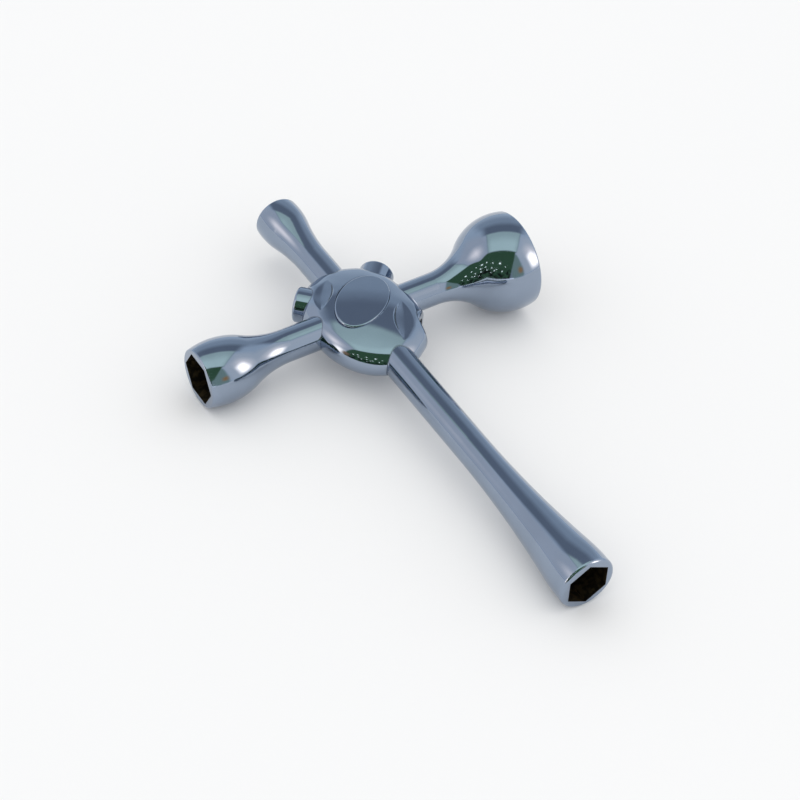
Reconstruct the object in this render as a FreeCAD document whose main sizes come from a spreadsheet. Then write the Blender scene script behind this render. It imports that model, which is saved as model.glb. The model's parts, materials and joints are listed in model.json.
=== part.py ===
import FreeCAD, Part
import math
import os

import Sketcher

# Cross wrench for model-car wheel nuts: four socket arms at right angles, pressed and cross-pinned
# into a flattened dome-shaped hub that carries three small pressed-in sockets and two oval medallions.
#
# Frame: origin where the four arm axes cross, +Z up through the hub, +X along the bell-shaped arm,
# +Y along the 8 mm arm, -X along the 10 mm arm and -Y along the long 9 mm arm. Lengths in millimetres.

SHEET_ROWS = [
    # The hub is turned with a shallow crown and a round rim, stretched along Y. Its middle lies a
    # little towards the long arm.
    ("hub_half_width", 12.4, "hub half size along X"),
    ("hub_half_length", 16.4, "hub half size along Y"),
    ("hub_half_height", 6.0, "hub half size along Z"),
    ("hub_rim_arc", 4.3, "radius of the hub's round rim, before the stretch"),
    ("hub_shift", 1.8, "hub middle's offset from the arm axes, towards -Y"),
    # Arms: one round shank and spigot for all four.
    ("shank_radius", 3.72, "radius of each arm where it leaves the hub"),
    ("shoulder_reach", 7.6, "distance from the origin to the shoulder between shank and spigot"),
    ("spigot_radius", 3.0, "radius of the spigot inside the hub"),
    ("spigot_chamfer", 0.3, "lead-in chamfer on each spigot"),
    ("cross_spigot_end", 3.6, "where the spigots on the X axis end"),
    ("long_spigot_end", 1.6, "where the spigots on the Y axis end"),
    ("drill_tip_slope", 0.6, "depth of a drill tip per millimetre of its radius"),
    # Each arm: mouth, crest of the head, radii of the flare and of the crest, and its socket.
    ("bell_mouth", 40.8, "bell arm: origin to mouth"),
    ("bell_crest", 37.6, "bell arm: origin to the widest point"),
    ("bell_head_radius", 11.4, "bell arm: largest radius"),
    ("bell_flare_arc", 14.0, "bell arm: radius of the hollow flare"),
    ("bell_crest_arc", 13.0, "bell arm: radius of the rounded shoulder"),
    ("bell_lip_round", 0.6, "bell arm: rounding of the lip"),
    ("bell_flats", 17.0, "bell arm: hexagon across flats"),
    ("bell_hex_depth", 7.5, "bell arm: depth of the hexagon"),
    ("bell_relief_radius", 6.2, "bell arm: radius of the round relief behind the hexagon"),
    ("bell_relief_depth", 10.5, "bell arm: depth of the relief from the mouth"),
    ("ten_mouth", 40.3, "10 mm arm: origin to mouth"),
    ("ten_crest", 35.4, "10 mm arm: origin to the widest point"),
    ("ten_head_radius", 7.36, "10 mm arm: largest radius"),
    ("ten_flare_arc", 21.5, "10 mm arm: radius of the hollow flare"),
    ("ten_crest_arc", 17.0, "10 mm arm: radius of the rounded head"),
    ("ten_lip_round", 0.4, "10 mm arm: rounding of the lip"),
    ("ten_flats", 10.0, "10 mm arm: hexagon across flats"),
    ("ten_hex_depth", 8.0, "10 mm arm: depth of the hexagon"),
    ("ten_relief_radius", 4.4, "10 mm arm: radius of the round relief behind the hexagon"),
    ("ten_relief_depth", 11.0, "10 mm arm: depth of the relief from the mouth"),
    ("nine_mouth", 88.4, "9 mm arm: origin to mouth"),
    ("nine_crest", 86.6, "9 mm arm: origin to the widest point"),
    ("nine_head_radius", 6.33, "9 mm arm: largest radius"),
    ("nine_flare_arc", 280.0, "9 mm arm: radius of the long flare"),
    ("nine_crest_arc", 45.0, "9 mm arm: radius of the rounded head"),
    ("nine_lip_round", 0.7, "9 mm arm: rounding of the lip"),
    ("nine_flats", 9.0, "9 mm arm: hexagon across flats"),
    ("nine_hex_depth", 8.0, "9 mm arm: depth of the hexagon"),
    ("nine_relief_radius", 3.6, "9 mm arm: radius of the round relief behind the hexagon"),
    ("nine_relief_depth", 12.0, "9 mm arm: depth of the relief from the mouth"),
    ("eight_mouth", 38.1, "8 mm arm: origin to mouth"),
    ("eight_crest", 36.2, "8 mm arm: origin to the widest point"),
    ("eight_head_radius", 5.45, "8 mm arm: largest radius"),
    ("eight_flare_arc", 44.0, "8 mm arm: radius of the hollow flare"),
    ("eight_crest_arc", 22.0, "8 mm arm: radius of the rounded head"),
    ("eight_lip_round", 0.5, "8 mm arm: rounding of the lip"),
    ("eight_flats", 8.0, "8 mm arm: hexagon across flats"),
    ("eight_hex_depth", 6.0, "8 mm arm: depth of the hexagon"),
    ("eight_relief_radius", 3.2, "8 mm arm: radius of the round relief behind the hexagon"),
    ("eight_relief_depth", 9.0, "8 mm arm: depth of the relief from the mouth"),
    # Small sockets, pressed into the hub between the arms.
    ("boss_radius", 4.0, "outer radius of each small socket"),
    ("boss_seat", 9.9, "origin to the inner end of each small socket"),
    ("boss_mouth", 14.8, "origin to the mouth of the two proud small sockets"),
    ("flush_boss_mouth", 13.4, "origin to the mouth of the small socket that lies flush with the dome"),
    ("boss_lip_round", 0.7, "rounding of each small socket's lip"),
    ("boss_hex_depth", 3.0, "depth of each small socket's hexagon"),
    ("boss_flats_a", 5.5, "first small hexagon across flats"),
    ("boss_flats_b", 5.0, "second small hexagon across flats"),
    ("boss_flats_c", 4.0, "third small hexagon across flats"),
    # Medallions: ovals let into the top and bottom of the hub, flatter than it and standing proud.
    ("medallion_half_length", 8.65, "medallion: larger half size"),
    ("medallion_half_width", 5.6, "medallion: smaller half size"),
    ("medallion_shift", 0.5, "medallion middle's offset from the arm axes, towards -Y"),
    ("medallion_turn", 38.7, "medallion: angle of its long axis from +X, degrees"),
    ("medallion_seat", 3.95, "height of the flat floor under a medallion"),
    ("medallion_top", 6.05, "height of a medallion's middle"),
    ("medallion_crown_arc", 45.0, "radius of a medallion's shallow crown"),
    ("medallion_gap", 0.06, "gap all round a medallion in its recess"),
    ("medallion_edge_round", 0.4, "rounding of a medallion's rim"),
    # Leaf-shaped dimples beside each medallion: a steep inner wall, a sharp crease and a long slope.
    ("leaf_reach_x", 4.55, "crease middle from the leaves' common middle along X"),
    ("leaf_reach_y", 6.2, "crease middle from the leaves' common middle along Y"),
    ("leaf_aside", 0.45, "leaves' common middle from the hub's middle, towards -X"),
    ("left_leaf_turn", 48.5, "angle of the crease nearer the 8 mm arm from +X, degrees"),
    ("right_leaf_turn", 62.5, "angle of the crease nearer the long arm from +X, degrees"),
    ("leaf_inner_width", 0.6, "run of a dimple's inner wall, from crease to surface"),
    ("leaf_outer_width", 4.6, "run of a dimple's outer slope, were the dome flat"),
    ("leaf_depth", 0.62, "depth of a dimple's crease"),
    ("leaf_bar_size", 4.0, "size of the V bar that cuts a dimple, in dimple widths and depths"),
    # Cross pins, hidden under the medallions.
    ("pin_radius", 0.8, "cross pin radius"),
    ("pin_chamfer", 0.2, "cross pin end chamfer"),
    ("pin_reach", 4.9, "origin to the cross pins on the X axis"),
    ("long_pin_reach", 5.0, "origin to the long arm's cross pin"),
    ("short_pin_reach", 3.6, "origin to the 8 mm arm's cross pin"),
    ("cut_overrun", 3.0, "how far a cutting tool stands clear of what it cuts"),
]

# Arm node: (sheet prefix, azimuth in degrees, hexagon turn in degrees, spigot end, cross pin reach).
# A turn of 0 puts flats above and below the arm's axis, and 30 puts corners there.
ARMS = {
    "bell_arm_17mm": ("bell", 0, 0, "cross_spigot_end", "pin_reach"),
    "short_arm_8mm": ("eight", 90, 30, "long_spigot_end", "short_pin_reach"),
    "short_arm_10mm": ("ten", 180, 0, "cross_spigot_end", "pin_reach"),
    "long_arm_9mm": ("nine", 270, 30, "long_spigot_end", "long_pin_reach"),
}

# Small socket node: (its hexagon across flats, azimuth in degrees, reach of its mouth).
SMALL_SOCKETS = {
    "small_socket_5_5mm": ("boss_flats_a", 135, "boss_mouth"),
    "small_socket_5mm": ("boss_flats_b", 45, "boss_mouth"),
    "small_socket_4mm": ("boss_flats_c", 315, "flush_boss_mouth"),
}

# Sketcher's names for the points of a piece of geometry, for the two axes and for the origin.
START, END, MIDDLE = 1, 2, 3
X_AXIS, Y_AXIS = -1, -2
ORIGIN = (-1, 1)

UP = FreeCAD.Vector(0, 0, 1)
# Lengths this close are equal, in millimetres.
CLOSE = 0.001
# The least volume that a pocket has to remove, in cubic millimetres.
LEAST_CUT = 0.1


def cells(expression):
    """Expression in the sheet's aliases, such as "bell_mouth - bell_relief_depth", for setExpression."""
    words = expression.split()
    return " ".join("Dimensions." + word if word.isidentifier() else word for word in words)


def make_sheet(doc):
    sheet = doc.addObject("Spreadsheet::Sheet", "Dimensions")
    for row, (alias, value, meaning) in enumerate(SHEET_ROWS, start=1):
        sheet.set("A%d" % row, meaning)
        sheet.set("B%d" % row, str(value))
        sheet.setAlias("B%d" % row, alias)
    doc.recompute()
    return sheet


def add_primitive(doc, kind, name, **sizes):
    """Part object whose properties are bound to the sheet."""
    primitive = doc.addObject(kind, name)
    for prop, expression in sizes.items():
        primitive.setExpression(prop, cells(expression))
    return primitive


# ---------------------------------------------------------------- sketches and features of a body

def make_body(doc, label, azimuth=0.0):
    body = doc.addObject("PartDesign::Body", label)
    body.Label = label
    body.Placement = FreeCAD.Placement(FreeCAD.Vector(), FreeCAD.Rotation(UP, azimuth))
    return body


def add_sketch(body, name, role, offset=None):
    """Sketch on one of the body's own origin planes, moved along its normal by an expression."""
    plane = next(f for f in body.Origin.OriginFeatures if f.Role == role)
    sketch = body.newObject("Sketcher::SketchObject", name)
    sketch.AttachmentSupport = [(plane, "")]
    sketch.MapMode = "FlatFace"
    if offset:
        sketch.setExpression("AttachmentOffset.Base.z", cells(offset))
    return sketch


def constrain(sketch, kind, *places):
    sketch.addConstraint(Sketcher.Constraint(kind, *places))


def dimension(sketch, kind, places, name, expression):
    """Dimensional constraint with a name, bound to the sheet."""
    value = sketch.evalExpression(cells(expression))
    index = sketch.addConstraint(Sketcher.Constraint(kind, *places, value))
    sketch.renameConstraint(index, name)
    sketch.setExpression("Constraints." + name, cells(expression))


def draw_circle(sketch, radius, reach=None):
    """Circle on the sketch's X axis, at the origin unless a reach is given."""
    centre = FreeCAD.Vector(sketch.evalExpression(cells(reach)) if reach else 0.0, 0, 0)
    circle = sketch.addGeometry(Part.Circle(centre, UP, sketch.evalExpression(cells(radius))))
    dimension(sketch, "Radius", (circle,), "radius", radius)
    if reach:
        constrain(sketch, "PointOnObject", circle, MIDDLE, X_AXIS)
        dimension(sketch, "DistanceX", (*ORIGIN, circle, MIDDLE), "reach", reach)
    else:
        constrain(sketch, "Coincident", circle, MIDDLE, *ORIGIN)


def draw_hexagon(sketch, flats, turn):
    """Regular hexagon about the origin. Turn is the angle of its first corner, 0 or 30 degrees."""
    corner_radius = sketch.evalExpression(cells(flats)) / math.sqrt(3)
    corners = []
    for number in range(6):
        angle = math.radians(turn + 60 * number)
        corners.append(FreeCAD.Vector(math.cos(angle), math.sin(angle), 0) * corner_radius)
    for number in range(6):
        sketch.addGeometry(Part.LineSegment(corners[number], corners[(number + 1) % 6]))
    circle = sketch.addGeometry(Part.Circle(FreeCAD.Vector(), UP, corner_radius), True)
    for number in range(6):
        constrain(sketch, "Coincident", number, END, (number + 1) % 6, START)
        constrain(sketch, "PointOnObject", number, START, circle)
    for number in range(1, 6):
        constrain(sketch, "Equal", 0, number)
    constrain(sketch, "Coincident", circle, MIDDLE, *ORIGIN)
    top_side, right_side = 1, 5
    if turn:
        constrain(sketch, "Vertical", right_side)
    else:
        constrain(sketch, "Horizontal", top_side)
    dimension(sketch, "Radius", (circle,), "corner_radius", flats + " / sqrt(3)")


def add_feature(body, kind, name, profile=None, **sizes):
    feature = body.newObject(kind, name)
    if profile:
        feature.Profile = profile
        profile.Visibility = False
    for prop, expression in sizes.items():
        feature.setExpression(prop, cells(expression))
    return feature


def cut(doc, body, name, profile, depth=None):
    """Pocket as deep as the expression or, without one, right through to both sides."""
    before = body.Shape.Volume
    pocket = add_feature(body, "PartDesign::Pocket", name, profile)
    if depth:
        pocket.setExpression("Length", cells(depth))
    else:
        pocket.Type = "ThroughAll"
        pocket.Midplane = True
    doc.recompute()
    if body.Shape.Volume > before - LEAST_CUT:
        raise RuntimeError(name + " removed nothing")


def ring_edges(shape, distance):
    """Names of the round edges about the X axis at this distance, outermost first."""
    found = []
    for number, edge in enumerate(shape.Edges, start=1):
        curve = edge.Curve
        if isinstance(curve, Part.Circle) and abs(curve.Center.x - distance) < CLOSE:
            found.append((-curve.Radius, "Edge%d" % number))
    return [name for _, name in sorted(found)]


def dress_ring(doc, body, kind, name, prop, expression, distance):
    """Fillet or chamfer the outermost round edge at a distance along the body's X axis."""
    base = body.Tip
    dressing = body.newObject(kind, name)
    dressing.Base = (base, ring_edges(base.Shape, distance)[:1])
    dressing.setExpression(prop, cells(expression))
    doc.recompute()


# ---------------------------------------------------------------- socket arms

def draw_arm_outline(sketch, arm, spigot_end):
    """Half outline of an arm: X runs out along the arm and Y is the radius.

    The flare's centre stands over the end of the straight shank, and the crown's centre is on the
    head's widest cross-section. The two arcs touch on the line between their centres.
    """
    def value(expression):
        return sketch.evalExpression(cells(expression))

    def point(x, y):
        return FreeCAD.Vector(x, y, 0)

    tail, shoulder = value(spigot_end), value("shoulder_reach")
    spigot, shank = value("spigot_radius"), value("shank_radius")
    mouth, crest = value(arm + "_mouth"), value(arm + "_crest")
    flare, crown = value(arm + "_flare_arc"), value(arm + "_crest_arc")
    head, bore = value(arm + "_head_radius"), value(arm + "_relief_radius")
    bore_end = mouth - value(arm + "_relief_depth")
    tip = bore_end - bore * value("drill_tip_slope")

    centre_rise = flare + crown - (head - shank)
    flare_start = crest - math.sqrt((flare + crown) ** 2 - centre_rise ** 2)
    flare_circle = Part.Circle(point(flare_start, shank + flare), UP, flare)
    crown_circle = Part.Circle(point(crest, head - crown), UP, crown)
    between = crown_circle.Center - flare_circle.Center
    touch = flare_circle.Center + between * (flare / (flare + crown))
    lip = point(mouth, head - crown + math.sqrt(crown ** 2 - (mouth - crest) ** 2))

    stem = [point(tail, 0), point(tail, spigot), point(shoulder, spigot),
            point(shoulder, shank), point(flare_start, shank)]
    socket = [lip, point(mouth, bore), point(bore_end, bore), point(tip, 0), stem[0]]
    lines = [sketch.addGeometry(Part.LineSegment(*ends)) for ends in zip(stem, stem[1:])]
    flare_arc = sketch.addGeometry(Part.ArcOfCircle(
        flare_circle, flare_circle.parameter(stem[-1]), flare_circle.parameter(touch)))
    crown_arc = sketch.addGeometry(Part.ArcOfCircle(
        crown_circle, crown_circle.parameter(lip), crown_circle.parameter(touch)))
    lines += [sketch.addGeometry(Part.LineSegment(*ends)) for ends in zip(socket, socket[1:])]
    return lines, flare_arc, crown_arc


def constrain_arm_outline(sketch, arm, spigot_end, lines, flare_arc, crown_arc):
    tail, spigot, shoulder, shank, mouth, bore, tip, axis = lines
    for first, second in ((tail, spigot), (spigot, shoulder), (shoulder, shank),
                          (mouth, bore), (bore, tip), (tip, axis), (axis, tail)):
        constrain(sketch, "Coincident", first, END, second, START)
    constrain(sketch, "Tangent", shank, END, flare_arc, START)
    constrain(sketch, "Tangent", flare_arc, END, crown_arc, END)
    constrain(sketch, "Coincident", crown_arc, START, mouth, START)
    for line in (spigot, shank, bore):
        constrain(sketch, "Horizontal", line)
    for line in (tail, shoulder, mouth):
        constrain(sketch, "Vertical", line)
    constrain(sketch, "PointOnObject", tail, START, X_AXIS)
    constrain(sketch, "PointOnObject", tip, END, X_AXIS)

    bore_end = arm + "_mouth - " + arm + "_relief_depth"
    tip_end = bore_end + " - " + arm + "_relief_radius * drill_tip_slope"
    crown_drop = arm + "_crest_arc - " + arm + "_head_radius"
    across = "DistanceX"
    up = "DistanceY"
    dimension(sketch, across, (*ORIGIN, tail, START), "spigot_end", spigot_end)
    dimension(sketch, up, (*ORIGIN, spigot, START), "spigot_radius", "spigot_radius")
    dimension(sketch, across, (*ORIGIN, shoulder, END), "shoulder_reach", "shoulder_reach")
    dimension(sketch, up, (*ORIGIN, shank, START), "shank_radius", "shank_radius")
    dimension(sketch, "Radius", (flare_arc,), "flare_arc", arm + "_flare_arc")
    dimension(sketch, "Radius", (crown_arc,), "crest_arc", arm + "_crest_arc")
    dimension(sketch, across, (*ORIGIN, crown_arc, MIDDLE), "crest", arm + "_crest")
    dimension(sketch, up, (crown_arc, MIDDLE, *ORIGIN), "crown_drop", crown_drop)
    dimension(sketch, across, (*ORIGIN, mouth, START), "mouth", arm + "_mouth")
    dimension(sketch, up, (*ORIGIN, bore, START), "relief_radius", arm + "_relief_radius")
    dimension(sketch, across, (*ORIGIN, bore, END), "relief_end", bore_end)
    dimension(sketch, across, (*ORIGIN, tip, END), "relief_tip", tip_end)


def make_arm(doc, sheet, label, arm, azimuth, hex_turn, spigot_end, pin_reach):
    """Turned arm with a spigot, a flared head and a hexagon socket, along the body's X axis."""
    body = make_body(doc, label, azimuth)
    outline = add_sketch(body, label + "_outline", "XY_Plane")
    constrain_arm_outline(outline, arm, spigot_end, *draw_arm_outline(outline, arm, spigot_end))
    turned = add_feature(body, "PartDesign::Revolution", label + "_turned", outline)
    turned.ReferenceAxis = (outline, ["H_Axis"])
    turned.Angle = 360
    doc.recompute()

    pin_sketch = add_sketch(body, label + "_pin_circle", "XY_Plane")
    draw_circle(pin_sketch, "pin_radius", pin_reach)
    cut(doc, body, label + "_pin_hole", pin_sketch)
    dress_ring(doc, body, "PartDesign::Chamfer", label + "_lead_in", "Size",
               "spigot_chamfer", getattr(sheet, spigot_end))
    dress_ring(doc, body, "PartDesign::Fillet", label + "_lip", "Radius",
               arm + "_lip_round", getattr(sheet, arm + "_mouth"))
    hexagon = add_sketch(body, label + "_hexagon", "YZ_Plane", arm + "_mouth")
    draw_hexagon(hexagon, arm + "_flats", hex_turn)
    cut(doc, body, label + "_socket", hexagon, arm + "_hex_depth")
    return body


# ---------------------------------------------------------------- small sockets and cross pins

def make_small_socket(doc, sheet, label, flats, azimuth, mouth):
    """Short round boss with a blind hexagon, along the body's X axis."""
    body = make_body(doc, label, azimuth)
    circle = add_sketch(body, label + "_circle", "YZ_Plane", "boss_seat")
    draw_circle(circle, "boss_radius")
    add_feature(body, "PartDesign::Pad", label + "_blank", circle, Length=mouth + " - boss_seat")
    doc.recompute()
    dress_ring(doc, body, "PartDesign::Fillet", label + "_lip", "Radius",
               "boss_lip_round", getattr(sheet, mouth))
    hexagon = add_sketch(body, label + "_hexagon", "YZ_Plane", mouth)
    draw_hexagon(hexagon, flats, 30)
    cut(doc, body, label + "_socket", hexagon, "boss_hex_depth")
    return body


def make_cross_pin(doc, label, reach, azimuth):
    """Upright pin through the hub and one spigot, between the two medallion seats."""
    body = make_body(doc, label, azimuth)
    circle = add_sketch(body, label + "_circle", "XY_Plane")
    draw_circle(circle, "pin_radius", reach)
    blank = add_feature(body, "PartDesign::Pad", label + "_blank", circle, Length="2 * medallion_seat")
    blank.Midplane = True
    doc.recompute()
    ends = ["Edge%d" % n for n, edge in enumerate(blank.Shape.Edges, start=1)
            if isinstance(edge.Curve, Part.Circle)]
    chamfer = body.newObject("PartDesign::Chamfer", label + "_ends")
    chamfer.Base = (blank, ends)
    chamfer.setExpression("Size", cells("pin_chamfer"))
    return body


# ---------------------------------------------------------------- medallions

def make_oval_column(doc, sheet, name, gap="0"):
    """Oval column over the hub, from a medallion's seat to clear above the dome."""
    oval = add_primitive(doc, "Part::Ellipse", name + "_oval",
                         MajorRadius="medallion_half_length + " + gap,
                         MinorRadius="medallion_half_width + " + gap)
    oval.Placement = FreeCAD.Placement(
        FreeCAD.Vector(0, -sheet.medallion_shift, sheet.medallion_seat),
        FreeCAD.Rotation(UP, sheet.medallion_turn))
    column = doc.addObject("Part::Extrusion", name)
    column.Base = oval
    column.DirMode = "Custom"
    column.Dir = UP
    column.Solid = True
    column.setExpression("LengthFwd", cells("hub_half_height + cut_overrun"))
    return column


def make_top_medallion(doc, sheet, label):
    """Oval plate with a shallow round crown and a rounded rim."""
    crown = add_primitive(doc, "Part::Sphere", label + "_crown", Radius="medallion_crown_arc")
    crown.setExpression("Placement.Base.y", cells("0 - medallion_shift"))
    crown.setExpression("Placement.Base.z", cells("medallion_top - medallion_crown_arc"))
    blank = doc.addObject("Part::Common", label + "_blank")
    blank.Base = crown
    blank.Tool = make_oval_column(doc, sheet, label + "_column")
    doc.recompute()
    rim = []
    for number, edge in enumerate(blank.Shape.Edges, start=1):
        above_seat = edge.BoundBox.ZMin > sheet.medallion_seat + CLOSE
        if above_seat:
            rim.append((number, sheet.medallion_edge_round, sheet.medallion_edge_round))
    medallion = doc.addObject("Part::Fillet", label)
    medallion.Label = label
    medallion.Base = blank
    medallion.Edges = rim
    medallion.Placement = FreeCAD.Placement()
    return medallion


def make_bottom_medallion(doc, top, label):
    mirrored = doc.addObject("Part::Mirroring", label)
    mirrored.Label = label
    mirrored.Source = top
    mirrored.Normal = UP
    mirrored.Placement = FreeCAD.Placement()
    return mirrored


# ---------------------------------------------------------------- hub

def crown_radius(width, height, rim):
    """Radius of the arc that tops the hub and touches its rim arc."""
    return ((width - rim) ** 2 + height ** 2 - rim ** 2) / (2 * (height - rim))


def draw_dome_outline(sketch):
    """Half outline of the hub before its stretch: X is the radius and Y the height."""
    names = ("hub_half_width", "hub_half_height", "hub_rim_arc")
    width, height, rim = (sketch.evalExpression(cells(name)) for name in names)
    crown = crown_radius(width, height, rim)
    touch_angle = math.atan2(crown - height, width - rim)

    def add_arc(x, y, radius, start, end):
        circle = Part.Circle(FreeCAD.Vector(x, y, 0), UP, radius)
        return sketch.addGeometry(Part.ArcOfCircle(circle, start, end))

    rim_arc = add_arc(width - rim, 0, rim, -touch_angle, touch_angle)
    top_arc = add_arc(0, height - crown, crown, touch_angle, math.pi / 2)
    bottom_arc = add_arc(0, crown - height, crown, -math.pi / 2, -touch_angle)
    apex = FreeCAD.Vector(0, height, 0)
    axis = sketch.addGeometry(Part.LineSegment(apex, -apex))

    constrain(sketch, "Tangent", rim_arc, END, top_arc, START)
    constrain(sketch, "Tangent", bottom_arc, END, rim_arc, START)
    constrain(sketch, "Coincident", top_arc, END, axis, START)
    constrain(sketch, "Coincident", axis, END, bottom_arc, START)
    constrain(sketch, "Symmetric", axis, START, axis, END, *ORIGIN)
    constrain(sketch, "PointOnObject", axis, START, Y_AXIS)
    constrain(sketch, "PointOnObject", top_arc, MIDDLE, Y_AXIS)
    constrain(sketch, "PointOnObject", bottom_arc, MIDDLE, Y_AXIS)
    constrain(sketch, "PointOnObject", rim_arc, MIDDLE, X_AXIS)
    dimension(sketch, "DistanceY", (*ORIGIN, axis, START), "half_height", "hub_half_height")
    dimension(sketch, "Radius", (rim_arc,), "rim_arc", "hub_rim_arc")
    dimension(sketch, "DistanceX", (*ORIGIN, rim_arc, MIDDLE), "rim_reach",
              "hub_half_width - hub_rim_arc")


def make_dome(doc, sheet):
    """Solid hub without any holes: a turned dome, above and below, stretched along Y."""
    outline = doc.addObject("Sketcher::SketchObject", "hub_outline")
    stand_up = FreeCAD.Rotation(FreeCAD.Vector(1, 0, 0), 90)
    outline.Placement = FreeCAD.Placement(FreeCAD.Vector(), stand_up)
    draw_dome_outline(outline)
    turned = doc.addObject("Part::Revolution", "hub_turned")
    turned.Source = outline
    turned.Axis = UP
    turned.Angle = 360
    turned.Solid = True
    dome = doc.addObject("Part::Scale", "hub_dome")
    dome.Base = turned
    dome.Uniform = False
    dome.setExpression("YScale", cells("hub_half_length / hub_half_width"))
    dome.Placement = FreeCAD.Placement(FreeCAD.Vector(0, -sheet.hub_shift, 0), FreeCAD.Rotation())
    return dome


def radial_bore(doc, name, azimuth, radius, start, height):
    """Cylinder that runs outwards along a horizontal line through the origin."""
    bore = add_primitive(doc, "Part::Cylinder", name, Radius=radius, Height=height)
    direction = FreeCAD.Rotation(UP, azimuth).multVec(FreeCAD.Vector(1, 0, 0))
    bore.Placement = FreeCAD.Placement(FreeCAD.Vector(), FreeCAD.Rotation(UP, direction))
    bore.setExpression("Placement.Base.x", cells(start) + " * cos(%d deg)" % azimuth)
    bore.setExpression("Placement.Base.y", cells(start) + " * sin(%d deg)" % azimuth)
    return bore


def upright_hole(doc, name, azimuth, reach):
    """Hole for a cross pin, open into both medallion seats."""
    hole = add_primitive(doc, "Part::Cylinder", name, Radius="pin_radius",
                         Height="2 * medallion_seat + 2 * cut_overrun")
    hole.setExpression("Placement.Base.x", cells(reach) + " * cos(%d deg)" % azimuth)
    hole.setExpression("Placement.Base.y", cells(reach) + " * sin(%d deg)" % azimuth)
    hole.setExpression("Placement.Base.z", cells("0 - medallion_seat - cut_overrun"))
    return hole


def dome_point(sheet, x, y):
    """Point on the crown of the dome above (x, y), and the dome's outward normal there."""
    stretch = sheet.hub_half_length / sheet.hub_half_width
    crown = crown_radius(sheet.hub_half_width, sheet.hub_half_height, sheet.hub_rim_arc)
    along = (y + sheet.hub_shift) / stretch
    rise = math.sqrt(crown ** 2 - x ** 2 - along ** 2)
    normal = FreeCAD.Vector(x, along / stretch, rise).normalize()
    return FreeCAD.Vector(x, y, rise - crown + sheet.hub_half_height), normal


def leaf_cutter(doc, sheet, name, side, turn, face):
    """Lopsided V bar sunk into the dome. Side is which flank of the hub, face is top or bottom."""
    inner, outer = "leaf_inner_width * leaf_bar_size", "leaf_outer_width * leaf_bar_size"
    low, high = (outer, inner) if side * face > 0 else (inner, outer)
    bar = add_primitive(
        doc, "Part::Wedge", name, Xmin="0 - " + low, Xmax=high,
        Ymin="leaf_depth - leaf_depth * leaf_bar_size", Ymax="leaf_depth")
    bar.X2min = bar.X2max = 0.0
    bar.Zmin = bar.Z2min = -sheet.hub_half_width
    bar.Zmax = bar.Z2max = sheet.hub_half_width
    point, normal = dome_point(sheet, -side * sheet.leaf_reach_x - sheet.leaf_aside,
                               side * sheet.leaf_reach_y - sheet.hub_shift)
    crease = FreeCAD.Rotation(UP, turn).multVec(FreeCAD.Vector(1, 0, 0))
    crease = (crease - normal * crease.dot(normal)).normalize()
    for vector in (point, normal, crease):
        vector.z *= face
    inwards = normal * -1
    bar.Placement = FreeCAD.Placement(
        point, FreeCAD.Rotation(inwards.cross(crease), inwards, crease, "ZYX"))
    return bar


def make_hub(doc, sheet, label):
    """Dome-shaped hub, bored for the arms, the small sockets, the pins and the medallions."""
    tools = []
    for arm_label, (_, azimuth, _, spigot_end, pin_reach) in ARMS.items():
        tools.append(radial_bore(doc, arm_label + "_spigot_bore", azimuth, "spigot_radius",
                                 spigot_end, "shoulder_reach + cut_overrun - " + spigot_end))
        tools.append(radial_bore(doc, arm_label + "_shank_bore", azimuth, "shank_radius",
                                 "shoulder_reach", "hub_half_length + hub_shift"))
        tools.append(upright_hole(doc, arm_label + "_pin_bore", azimuth, pin_reach))
    for socket_label, (_, azimuth, _) in SMALL_SOCKETS.items():
        tools.append(radial_bore(doc, socket_label + "_bore", azimuth, "boss_radius",
                                 "boss_seat", "hub_half_length"))
    top_recess = make_oval_column(doc, sheet, "top_recess", "medallion_gap")
    bottom_recess = doc.addObject("Part::Mirroring", "bottom_recess")
    bottom_recess.Source = top_recess
    bottom_recess.Normal = UP
    tools += [top_recess, bottom_recess]
    for face, face_name in ((1, "top"), (-1, "bottom")):
        for side, side_name in ((1, "left"), (-1, "right")):
            turn = getattr(sheet, side_name + "_leaf_turn")
            name = "%s_%s_leaf" % (face_name, side_name)
            tools.append(leaf_cutter(doc, sheet, name, side, turn, face))
    cutters = doc.addObject("Part::MultiFuse", "hub_cutters")
    cutters.Shapes = tools
    hub = doc.addObject("Part::Cut", label)
    hub.Label = label
    hub.Base = make_dome(doc, sheet)
    hub.Tool = cutters
    hub.Placement = FreeCAD.Placement()
    return hub


# ---------------------------------------------------------------- whole tool

def check(doc, pieces):
    """Stop if any object failed or any piece is not one valid solid."""
    for item in doc.Objects:
        if "Invalid" in item.State or "Error" in item.State:
            raise RuntimeError(item.Name + " failed: " + str(item.State))
    for piece in pieces:
        shape = piece.Shape
        if shape.isNull() or not shape.isValid() or len(shape.Solids) != 1:
            raise RuntimeError(piece.Label + " is not one valid solid")


def main():
    doc = FreeCAD.newDocument("CrossWrench")
    sheet = make_sheet(doc)
    pieces = [make_hub(doc, sheet, "hub_body")]
    for label, (arm, azimuth, hex_turn, spigot_end, pin_reach) in ARMS.items():
        pieces.append(make_arm(doc, sheet, label, arm, azimuth, hex_turn, spigot_end, pin_reach))
        pieces.append(make_cross_pin(doc, label + "_cross_pin", pin_reach, azimuth))
    for label, (flats, azimuth, mouth) in SMALL_SOCKETS.items():
        pieces.append(make_small_socket(doc, sheet, label, flats, azimuth, mouth))
    top_medallion = make_top_medallion(doc, sheet, "top_medallion")
    pieces.append(top_medallion)
    pieces.append(make_bottom_medallion(doc, top_medallion, "bottom_medallion"))
    doc.recompute()
    check(doc, pieces)
    os.makedirs("parts", exist_ok=True)
    for piece in pieces:
        piece.Shape.exportStep(os.path.join("parts", piece.Label + ".step"))
        print("%-32s %9.2f mm3" % (piece.Label, piece.Shape.Volume))


main()
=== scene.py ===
import json
import math

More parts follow.
